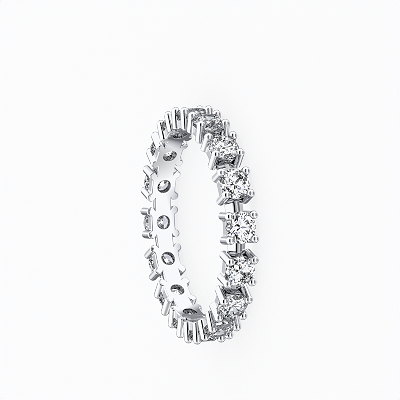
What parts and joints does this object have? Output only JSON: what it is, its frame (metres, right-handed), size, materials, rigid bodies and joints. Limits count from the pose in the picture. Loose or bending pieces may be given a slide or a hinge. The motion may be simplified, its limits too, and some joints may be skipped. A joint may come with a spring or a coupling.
{
  "type": "eternity ring",
  "caption": "Full eternity ring with a round brilliant in every four-claw wire setting, pierced base plates and a ridged bar joining the settings.",
  "frame": {"origin": "on the ring's axis at the height of the surface it lies on, the bottom centre of its bounding box", "axes": "+Z along the ring's axis, up from the surface the ring lies on; +X out through the middle of the stone that is nearest in the picture (stone_01); +Y towards stone_05, which is up in the picture. Stones are numbered from +X towards +Y."},
  "size_m": [0.021, 0.021, 0.003],
  "materials": {
    "polished_white_gold": "mirror polished, rhodium plated",
    "diamond": "polished facets"
  },
  "bodies": {
    "root": {"claw_mounting": "polished_white_gold", "stone_01": "diamond", "stone_02": "diamond", "stone_03": "diamond", "stone_04": "diamond", "stone_05": "diamond", "stone_06": "diamond", "stone_07": "diamond", "stone_08": "diamond", "stone_09": "diamond", "stone_10": "diamond", "stone_11": "diamond", "stone_12": "diamond", "stone_13": "diamond", "stone_14": "diamond", "stone_15": "diamond", "stone_16": "diamond"}
  },
  "joints": []
}
